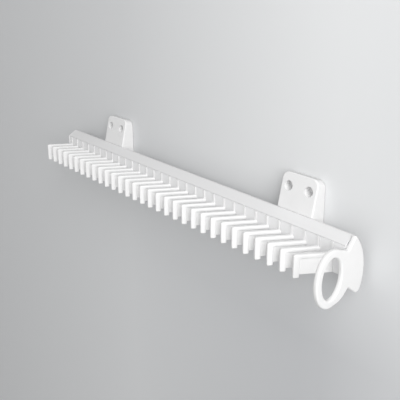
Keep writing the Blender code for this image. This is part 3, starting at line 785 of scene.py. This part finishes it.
def under_cover(out):
    """How high the underside of the cover is, out from the wall."""
    return RAIL_TOP - COVER_RISE - (out - COVER_TOP_OUT) * COVER_SLOPE


print("the cover falls", round(math.degrees(math.atan(COVER_SLOPE))), "degrees")

# %% Make the rail
BRACKET_STEP = ends("bracket_rear", "along")[0] - BRACKET_LEFT
ALL_RAIL_SCREWS = [(x + step, up) for step in (0.0, BRACKET_STEP) for x, up in RAIL_SCREWS]
STOP_SPOT = [(sum(ends("slide_stop", "along")) / 2, RAIL_SCREWS[0][1])]
HEAD_HOLE = 6.6
STOP_HOLE = 3.8
TOOL_REACH = 1.0


def rail_mesh():
    """The rail's profile along its length, with its countersinks and the hole of the slide stop."""
    cover_inside = COVER_TOP_OUT + (RAIL_TOP - COVER_EDGE_UP - COVER_RISE) / COVER_SLOPE
    section = rounded([
        (RAIL_BACK, RAIL_BOTTOM, TIGHT_CORNER),
        (RAIL_BACK, RAIL_TOP, OUTER_CORNER),
        (COVER_TOP_OUT, RAIL_TOP, COVER_CORNER),
        (COVER_EDGE_OUT, COVER_EDGE_UP, OUTER_CORNER),
        (cover_inside, COVER_EDGE_UP, TIGHT_CORNER),
        (RAIL_INSIDE, under_cover(RAIL_INSIDE), INNER_CORNER),
        (RAIL_INSIDE, SHELF_TOP, INNER_CORNER),
        (LIP_BACK, SHELF_TOP, TIGHT_CORNER),
        (LIP_BACK, LIP_TOP, INNER_CORNER),
        (LIP_OUT, LIP_TOP, INNER_CORNER),
        (LIP_OUT, SHELF_UNDER, TIGHT_CORNER),
        (RAIL_INSIDE, SHELF_UNDER, INNER_CORNER),
        (RAIL_INSIDE, RAIL_BOTTOM, TIGHT_CORNER),
    ])
    sink = (HEAD_HOLE - PILOT) / 2
    behind = RAIL_BACK - TOOL_REACH
    return carve(
        length_of(section, RAIL_REAR, PULL_BACK - PULL_GAP, END_EDGE),
        ("DIFFERENCE", rods(ALL_RAIL_SCREWS, (RAIL_INSIDE - sink, PILOT), (RAIL_INSIDE, HEAD_HOLE))),
        ("DIFFERENCE", rods(ALL_RAIL_SCREWS, (behind, PILOT), (RAIL_INSIDE - sink / 2, PILOT))),
        ("DIFFERENCE", rods(STOP_SPOT, (behind, STOP_HOLE), (RAIL_INSIDE + TOOL_REACH, STOP_HOLE))),
    )


rail = new_piece("guide_rail", rail_mesh())
print("rail:", len(rail.data.polygons), "faces")

# %% [markdown]
# ## End cap
#
# A moulded cap closes the far end of the rail. It shows as a slightly lighter edge there. A flat
# lid would look the same from the front, but the back is seen too: this wall follows the rail's
# outline and grips the rail between a tab behind it and a plug in front of its lip, so those two
# are joined to it.

# %% Make the rail's end cap
CAP_REAR, CAP_FRONT = ends("rail_end_cap", "along")
TAB_OUT = ends("rail_end_cap", "out")[0]
CAP_SKIN = 2.2
CAP_CORNER = 3.0
CAP_BACK_CORNER = 0.6
CAP_EDGE = 0.5
PLUG_INSET = 3.2
PLUG_OUT = PANEL_OUT - PLUG_INSET


def cap_mesh():
    """An end wall that grips the rail between a plug and a back tab."""
    wall = rounded([
        (RAIL_BACK, RAIL_BOTTOM, CAP_BACK_CORNER),
        (COVER_EDGE_OUT, RAIL_BOTTOM, CAP_CORNER),
        (COVER_EDGE_OUT, COVER_EDGE_UP, CAP_CORNER),
        (COVER_TOP_OUT, RAIL_TOP, CAP_CORNER),
        (RAIL_BACK, RAIL_TOP, CAP_BACK_CORNER),
        (RAIL_BACK, LIP_TOP, 0),
        (TAB_OUT, LIP_TOP, CAP_BACK_CORNER),
        (TAB_OUT, -LIP_TOP, CAP_BACK_CORNER),
        (RAIL_BACK, -LIP_TOP, 0),
    ])
    middle = CAP_REAR + CAP_SKIN / 2
    tab_low = (middle, TAB_OUT, -LIP_TOP + CAP_EDGE)
    tab_high = (CAP_FRONT, RAIL_BACK - FIT_GAP, LIP_TOP - CAP_EDGE)
    plug_low = (middle, LIP_OUT + FIT_GAP, SHELF_UNDER + FIT_GAP)
    plug_high = (CAP_FRONT, PLUG_OUT, LIP_TOP)
    return carve(
        length_of(wall, CAP_REAR, CAP_REAR + CAP_SKIN, CAP_EDGE),
        ("UNION", block(tab_low, tab_high)),
        ("UNION", block(plug_low, plug_high)),
    )


cap = new_piece("rail_end_cap", cap_mesh())
print("cap:", len(cap.data.polygons), "faces")

# %% [markdown]
# ## Screws in the rail
#
# Four countersunk screws hold the rail to its brackets. They hide behind the bar until it is
# pulled out. A turned profile could be spun about its axis; as head, shank and point are cones
# and cylinders, three rods joined end to end give the same form, and two thin blocks strike the
# cross recess into the head.

# %% Make the rail's screws
SCREW_NODES = [name for name in NODES if name.startswith("rail_screw")]
SCREW_HEAD = 6.0
SCREW_SHANK = 3.2
SCREW_TIP = 7.6
RECESS_LENGTH = 3.4
RECESS_WIDTH = 0.8
RECESS_DEPTH = 1.1
NECK_OVERLAP = 0.2
POINT_OVERLAP = 0.01


def screw_mesh(x, up):
    """A countersunk screw out from the wall: its head flush with the rail's inside."""
    neck = RAIL_INSIDE - (SCREW_HEAD - SCREW_SHANK) / 2
    taper = SCREW_TIP + SCREW_SHANK / 2
    spot = [(x, up)]
    half_long = RECESS_LENGTH / 2
    half_wide = RECESS_WIDTH / 2
    low = RAIL_INSIDE - RECESS_DEPTH
    high = RAIL_INSIDE + TOOL_REACH
    level_slot = block((x - half_long, low, up - half_wide), (x + half_long, high, up + half_wide))
    upright_slot = block((x - half_wide, low, up - half_long), (x + half_wide, high, up + half_long))
    return carve(
        rods(spot, (neck, SCREW_SHANK), (RAIL_INSIDE, SCREW_HEAD)),
        ("UNION", rods(spot, (taper, SCREW_SHANK), (neck + NECK_OVERLAP, SCREW_SHANK))),
        ("UNION", rods(spot, (SCREW_TIP, SCREW_SHANK / 2), (taper + POINT_OVERLAP, SCREW_SHANK))),
        ("DIFFERENCE", level_slot),
        ("DIFFERENCE", upright_slot),
    )


def screw_node(x):
    """The packed screw that sits nearest to a place along the rail."""
    return min(SCREW_NODES, key=lambda name: abs(ends(name, "along")[0] - x))


for x, up in ALL_RAIL_SCREWS:
    new_piece(screw_node(x), screw_mesh(x, up))
print("screws at", [round(x, 1) for x, _ in ALL_RAIL_SCREWS], "mm along the rail")

# %% [markdown]
# ## Slide bar
#
# The bar is the second extrusion. A leg reaches over the rail's lip and hangs on its shelf, a
# flat panel behind the hooks closes the rail's front, and a foot below keeps it upright. Like the
# rail it is one outline drawn along its length. Its panel is milled with one groove for each
# hook, and all grooves are cut in one Boolean step. Its top comes close under the cover, because
# only a faint line shows there.

# %% The bar's measures
COVER_GAP = 0.2
RIB_UP = COVER_EDGE_UP - COVER_GAP
RIB_WIDTH = 2.4
PANEL_SKIN = 2.6
LEG_SKIN = 2.2
LEG_FOOT = 3.6
BRIDGE_UNDER = 7.2
FOOT_TOP = -8.3
FOOT_UNDER = -10.5
BAR_EDGE = 0.3
GROOVE_DEPTH = 1.5
HOOKS = sorted(name for name in NODES if name.startswith("hook_"))
ROOT_INSET = 10.15
LAST_ROOT = RAIL_FRONT - ROOT_INSET


def root_of(hook):
    """Where a hook's root is along the rail."""
    return LAST_ROOT + ends(hook, "along")[0] - ends(HOOKS[-1], "along")[0]


print(len(HOOKS), "hooks,", round(root_of(HOOKS[1]) - root_of(HOOKS[0]), 1), "mm apart")

# %% Make the bar
def bar_mesh():
    """The bar's profile along its length, with a groove for each hook."""
    panel_back = PANEL_OUT - PANEL_SKIN
    leg_out = LEG_BACK + LEG_SKIN
    corners = [
        (LEG_BACK, LEG_FOOT),
        (LEG_BACK, BAR_TOP),
        (LEG_BACK + (BAR_TOP - RIB_UP) / COVER_SLOPE, RIB_UP),
        (PANEL_OUT, RIB_UP),
        (PANEL_OUT, BAR_BOTTOM),
        (panel_back, BAR_BOTTOM),
        (panel_back, FOOT_UNDER),
        (LEG_BACK, FOOT_UNDER),
        (LEG_BACK, FOOT_TOP),
        (panel_back, FOOT_TOP),
        (panel_back, BRIDGE_UNDER),
        (leg_out, BRIDGE_UNDER),
        (leg_out, LEG_FOOT),
    ]
    section = rounded([(*corner, BAR_EDGE) for corner in corners])
    half = RIB_WIDTH / 2 + FIT_GAP
    tall = 3 * POST_HEIGHT
    grooves = bmesh.new()
    for hook in HOOKS:
        x = root_of(hook)
        groove_low = (x - half, PANEL_OUT - GROOVE_DEPTH, -tall)
        groove_high = (x + half, PANEL_OUT + GROOVE_DEPTH, tall)
        grooves.from_mesh(block(groove_low, groove_high))
    solid = length_of(section, BAR_REAR, BAR_FRONT, END_EDGE)
    return carve(solid, ("DIFFERENCE", mesh_of(grooves, "grooves")))


bar = new_piece("slide_bar", bar_mesh())
print("bar:", len(bar.data.polygons), "faces,", len(HOOKS), "grooves")

# %% [markdown]
# ## Tie hooks
#
# A hook is one moulding: a rounded rim that runs along the top of the arm and down its tip as a
# post, so that no edge can crease a tie, a thin web inside the rim, and an upright rib that slips
# into the bar's groove. An array modifier could repeat it, but then the hooks would be one piece.
# All hooks come from one mould, so they share one mesh and stay separate pieces; each leans away
# from the pull ring.

# %% The hook's measures
HOOK_ANGLE = math.radians(33.6)
ARM_LENGTH = 34.0
RIM_HEIGHT = 4.0
RIM_WIDTH = 4.2
RIM_ROUND = 1.2
TIP_CORNER = 2.0
POST_WIDTH = 5.8
POST_CORNER = 1.4
WEB_SKIN = 2.0
RIB_DEPTH = 0.8
RIB_EDGE = 0.25
RIB_OUT = PANEL_OUT + RIB_DEPTH
RIB_SEAT = PANEL_OUT - GROOVE_DEPTH + FIT_GAP
print("an arm reaches", round(RIB_OUT + ARM_LENGTH * math.cos(HOOK_ANGLE), 1), "mm out from the wall")

# %% Make the hooks
def hook_mesh():
    """The hook next to the pull ring."""
    out = Vector((-math.sin(HOOK_ANGLE), -math.cos(HOOK_ANGLE), 0.0))
    up = Vector((0.0, 0.0, 1.0))
    axes = Matrix((out, up, out.cross(up))).transposed().to_4x4()
    arm = Matrix.Translation((LAST_ROOT * MM, -RIB_OUT * MM, ARM_TOP)) @ axes
    back = -(RIB_DEPTH + RIM_WIDTH)
    inside = ARM_LENGTH - POST_WIDTH
    rim = rounded([
        (back, 0.0, 0),
        (back, -RIM_HEIGHT, 0),
        (inside, -RIM_HEIGHT, POST_CORNER),
        (inside, -POST_HEIGHT, POST_CORNER),
        (ARM_LENGTH, -POST_HEIGHT, POST_CORNER),
        (ARM_LENGTH, 0.0, TIP_CORNER),
    ])
    web_top = -RIM_HEIGHT / 2
    web_end = inside + POST_WIDTH / 2
    web = [(back, web_top), (web_end, web_top), (web_end, BAR_BOTTOM), (back, BAR_BOTTOM)]
    far = 2 * ARM_LENGTH
    behind = block((LAST_ROOT - far, -far, -far), (LAST_ROOT + far, PANEL_OUT + FIT_GAP, far))
    left = LAST_ROOT - RIB_WIDTH / 2
    right = LAST_ROOT + RIB_WIDTH / 2
    rib = [(left, BAR_BOTTOM), (right, BAR_BOTTOM), (right, RIB_UP), (left, RIB_UP)]
    rib_solid = plate([rib], RIB_OUT - RIB_SEAT, facing_out((RIB_OUT + RIB_SEAT) / 2), RIB_EDGE)
    return carve(
        plate([rim], RIM_WIDTH, arm, RIM_ROUND),
        ("UNION", plate([web], WEB_SKIN, arm)),
        ("DIFFERENCE", behind),
        ("UNION", rib_solid),
    )


shared = hook_mesh()
for hook in HOOKS:
    new_piece(hook, shared, (root_of(hook) - LAST_ROOT) * MM)
print(len(HOOKS), "hooks of", len(shared.polygons), "faces")

# %% [markdown]
# ## Pull plate
#
# The plate at the near end is a half-moon that follows the wall, with an oval ring for a finger
# on its free side. A ring could be joined to a plate as a bent tube, but seen from the end both
# are one flat outline with one hole. So one curve makes all of it, and the curve's own bevel
# gives the full soft edge that a hand expects. A tongue behind it plugs into the bar.

# %% The pull plate's measures
PULL_SKIN = 4.6
PULL_EDGE = 1.6
MOON_RADIUS = 48.2
MOON_OUT = 5.1
MOON_UP = -16.5
MOON_TOP = 15.5
MOON_BOTTOM = -33.0
MOON_STEPS = 24
RING_MIDDLE = (51.1, -11.3)
RING_BAND = 7.4
RING_LOW_JOIN = math.radians(270)
RING_TOP_JOIN = math.radians(478)
RING_STEPS = 56
HOLE_REACH = 13.3
HOLE_RISE = 18.9
HOLE_STEPS = 72
TAIL = (12.6, -39.7, 4.2)
NOTCH = (27.5, -28.0, 1.0)
BELLY = (37.0, -36.4, 20.0)
VALLEY = (29.7, 7.8, 1.5)
HORN = (20.2, 18.4, 1.5)
TONGUE_LENGTH = 14.3
TONGUE_DEPTH = 5.1
print("finger hole", round(2 * HOLE_REACH, 1), "by", round(2 * HOLE_RISE, 1), "mm")

# %% Make the pull plate
def pull_mesh():
    """The half-moon with its ring, and the tongue that plugs into the bar."""
    moon_middle = (MOON_OUT + MOON_RADIUS, MOON_UP)
    first = math.pi - math.asin((MOON_TOP - MOON_UP) / MOON_RADIUS)
    last = math.pi + math.asin((MOON_UP - MOON_BOTTOM) / MOON_RADIUS)
    moon = oval(moon_middle, MOON_RADIUS, MOON_RADIUS, first, last, MOON_STEPS)
    reach = HOLE_REACH + RING_BAND
    rise = HOLE_RISE + RING_BAND
    ring = oval(RING_MIDDLE, reach, rise, RING_LOW_JOIN, RING_TOP_JOIN, RING_STEPS)
    hole = oval(RING_MIDDLE, HOLE_REACH, HOLE_RISE, 0.0, 2 * math.pi, HOLE_STEPS)[:-1]
    moon_side = [(*point, 0) for point in moon]
    ring_side = [(*point, 0) for point in ring]
    outline = rounded(moon_side + [TAIL, NOTCH, BELLY] + ring_side + [VALLEY, HORN])
    middle = PULL_BACK + PULL_SKIN / 2
    panel_back = PANEL_OUT - PANEL_SKIN - FIT_GAP
    tongue_low = (PULL_BACK - TONGUE_LENGTH, panel_back - TONGUE_DEPTH, FOOT_TOP + FIT_GAP)
    tongue_high = (middle, panel_back, SHELF_UNDER - 2 * FIT_GAP)
    flat = plate([outline, hole], PULL_SKIN, across_rail(middle), PULL_EDGE)
    return carve(flat, ("UNION", block(tongue_low, tongue_high)))


pull = new_piece("pull_plate", pull_mesh())
print("pull plate:", len(pull.data.polygons), "faces")

# %% [markdown]
# ## Stage
#
# The rack hangs on a pale wall, and its soft shadow there tells how far it stands off; that shadow
# is partly cast by the lamps and partly painted. A pale floor lies far below. Lamps alone could
# shade the wall, but more light on it would bleach the rack. So the wall's light and shade are
# painted into its colour: painted light, palest above the rack's near end; painted shade, darkest
# below it; a middle tone towards the far end; and darker again well past the ring, where the
# painted light fades. It is drawn from its front only, so that it never hides the rack's back, and
# it throws neither shadow nor light on the rack.

# %% Paint the stage
# The wall's dim tone is its painted shade, and its bright tone its painted light.
WALL_PAINTED_SHADE_TONE = (0.59, 0.60, 0.615)
WALL_PAINTED_LIGHT_TONE = (0.87, 0.88, 0.885)
FLOOR_COLOUR = (0.80, 0.80, 0.80)
# Each range gives two places in metres and the paint's share at each.
# Together the ranges paint the wall's light and shade.
NEAR_RANGE = (-0.30, 0.0, 0.0, 1.0)
PAST_RANGE = (0.03, 0.20, 1.0, 0.0)
LIFT_RANGE = (-0.16, 0.0, -0.53, 0.31)
EDGE_RANGE = (0.06, 0.80, 0.55, 0.0)
CLOUD_PER_METRE = 1.5
CLOUD_DETAIL = 2.0
CLOUD_SHARE = 0.04
STAGE_ROUGHNESS = 0.9
STAGE_SPECULAR = 0.1


def graded(tree, place, limits):
    """A share that goes from one value to another between two places."""
    start, end, first, last = limits
    shares = {"From_Min": start, "From_Max": end, "To_Min": first, "To_Max": last}
    return Wire.node(tree, "ShaderNodeMapRange", Value=place, **shares)


def stage_finish(name, dim, bright, one_sided):
    """A stage paint between two tones, on the wall painted shade and painted light; seen from its front
    only if it is one-sided.
    """
    material, tree, shader = new_finish(name)
    place = Wire.node(tree, "ShaderNodeTexCoord", result="Object")
    along = Wire.node(tree, "ShaderNodeSeparateXYZ", result="X", Vector=place)
    up = Wire.node(tree, "ShaderNodeSeparateXYZ", result="Z", Vector=place)
    # These shares paint light above the rack's near end, and paint shade below it and well past the
    # ring.
    beside = graded(tree, along, NEAR_RANGE) * graded(tree, along, PAST_RANGE)
    painted_light_share = beside * graded(tree, up, LIFT_RANGE) + graded(tree, along, EDGE_RANGE)
    cloud = noise(tree, place, CLOUD_PER_METRE, CLOUD_DETAIL)
    shade = shaded(tree, painted_light_share + cloud * CLOUD_SHARE, (0.0, dim), (1.0, bright))
    Wire.plug(tree, shader.inputs["Base Color"], shade)
    shader.inputs["Roughness"].default_value = STAGE_ROUGHNESS
    shader.inputs["Specular IOR Level"].default_value = STAGE_SPECULAR
    if one_sided:
        behind = Wire.node(tree, "ShaderNodeNewGeometry", result="Backfacing")
        clear = Wire.node(tree, "ShaderNodeBsdfTransparent")
        front = Wire(shader.outputs[0])
        mixed = Wire.node(tree, "ShaderNodeMixShader", i0=behind, i1=front, i2=clear)
        tree.links.new(mixed.socket, tree.nodes["Material Output"].inputs["Surface"])
    return material


WALL_LIGHT_AND_SHADE_PAINT = stage_finish("stage_wall", WALL_PAINTED_SHADE_TONE, WALL_PAINTED_LIGHT_TONE, True)
FLOOR_PAINT = stage_finish("stage_floor", FLOOR_COLOUR, FLOOR_COLOUR, False)
print("wall paint of", len(WALL_LIGHT_AND_SHADE_PAINT.node_tree.nodes), "shader nodes")

# %% Make the wall and the floor
STAGE_REACH = 6.0
WALL_GAP = 0.5 * MM
FLOOR_DROP = 0.9


def stage_plane(name, matrix, finish):
    """A large square of the stage."""
    work = bmesh.new()
    bmesh.ops.create_grid(work, x_segments=1, y_segments=1, size=STAGE_REACH / 2, matrix=matrix)
    plane = bpy.data.objects.new(name, mesh_of(work, name))
    bpy.context.scene.collection.objects.link(plane)
    dress(plane, finish)
    return plane


upright = Matrix.Translation((0.0, WALL_GAP, 0.0)) @ Matrix.Rotation(QUARTER_TURN, 4, "X")
wall = stage_plane("stage_wall", upright, WALL_LIGHT_AND_SHADE_PAINT)
wall.visible_shadow = False
wall.visible_diffuse = False
floor = stage_plane("stage_floor", Matrix.Translation((0.0, 0.0, -FLOOR_DROP)), FLOOR_PAINT)
print("stage:", wall.name, "and", floor.name, FLOOR_DROP, "m below")

# %% [markdown]
# ## Light
#
# The photograph's light is large and soft, and comes from the right, in front of the rack and
# above it. One lamp could be that window, but the tops of the arms and the faces between the
# hooks would stay dull. So a window at the right lights the faces that look its way, a softbox
# higher up lights the cover and the arms, and a weak fill behind the camera opens the faces
# between the hooks. The lamps fade with distance, as in the photograph, where the far end is
# dimmer. A pale surround, bright on the window's side, gives the rest.

# %% Make the lamps
RACK_MIDDLE = Vector((-0.05, -0.03, -0.04))
WINDOW_PLACE = Vector((1.41, -0.63, 0.30))
WINDOW_SIZE = 0.6
WINDOW_WATTS = 6.4
SOFTBOX_PLACE = Vector((0.75, -0.45, 0.80))
SOFTBOX_SIZE = 0.6
SOFTBOX_WATTS = 5.4
FILL_BACK = 0.5
FILL_PLACE = CAMERA_PLACE + camera.matrix_world.to_3x3() @ Vector((0.0, 0.0, FILL_BACK))
FILL_SIZE = 0.4
FILL_WATTS = 1.9


def soft_light(name, place, size, watts):
    """A square area lamp that looks at the rack, and that the camera doesn't see."""
    data = bpy.data.lights.new(name, "AREA")
    data.shape = "SQUARE"
    data.size = size
    data.energy = watts
    lamp = bpy.data.objects.new(name, data)
    lamp.location = place
    lamp.visible_camera = False
    lamp.rotation_euler = (RACK_MIDDLE - place).to_track_quat("-Z", "Y").to_euler()
    bpy.context.scene.collection.objects.link(lamp)
    return lamp


lamps = [
    soft_light("window", WINDOW_PLACE, WINDOW_SIZE, WINDOW_WATTS),
    soft_light("softbox", SOFTBOX_PLACE, SOFTBOX_SIZE, SOFTBOX_WATTS),
    soft_light("fill", FILL_PLACE, FILL_SIZE, FILL_WATTS),
]
print("lamps:", {lamp.name: round((lamp.location - RACK_MIDDLE).length, 2) for lamp in lamps}, "m away")

# %% Make the surround
BRIGHT_WAY = Vector((0.45, -0.65, 0.45))
BRIGHT_LEVEL = 0.65
DIM_LEVEL = 0.05
SURROUND_WHITE = (1.0, 1.0, 1.0, 1.0)
HALF = 0.5


def pale_world():
    """A pale surround that is bright on the window's side and dims towards the opposite side."""
    world = bpy.data.worlds.new("pale_world")
    world.use_nodes = True
    tree = world.node_tree
    way = Wire.node(tree, "ShaderNodeTexCoord", result="Generated")
    dot = {"operation": "DOT_PRODUCT"}
    facing = Wire.node(tree, "ShaderNodeVectorMath", dot, "Value", i0=way, i1=BRIGHT_WAY.normalized())
    bright = Wire.node(tree, "ShaderNodeBackground", Color=SURROUND_WHITE, Strength=BRIGHT_LEVEL)
    dim = Wire.node(tree, "ShaderNodeBackground", Color=SURROUND_WHITE, Strength=DIM_LEVEL)
    mixed = Wire.node(tree, "ShaderNodeMixShader", i0=facing * HALF + HALF, i1=dim, i2=bright)
    tree.links.new(mixed.socket, tree.nodes["World Output"].inputs["Surface"])
    return world


bpy.context.scene.world = pale_world()
bpy.context.scene.view_settings.view_transform = "Standard"
print("surround from", DIM_LEVEL, "to", BRIGHT_LEVEL)

# %% [markdown]
# ## The last measure
#
# Finer pieces must not make the rack larger. The box of the packed model was kept from the start.
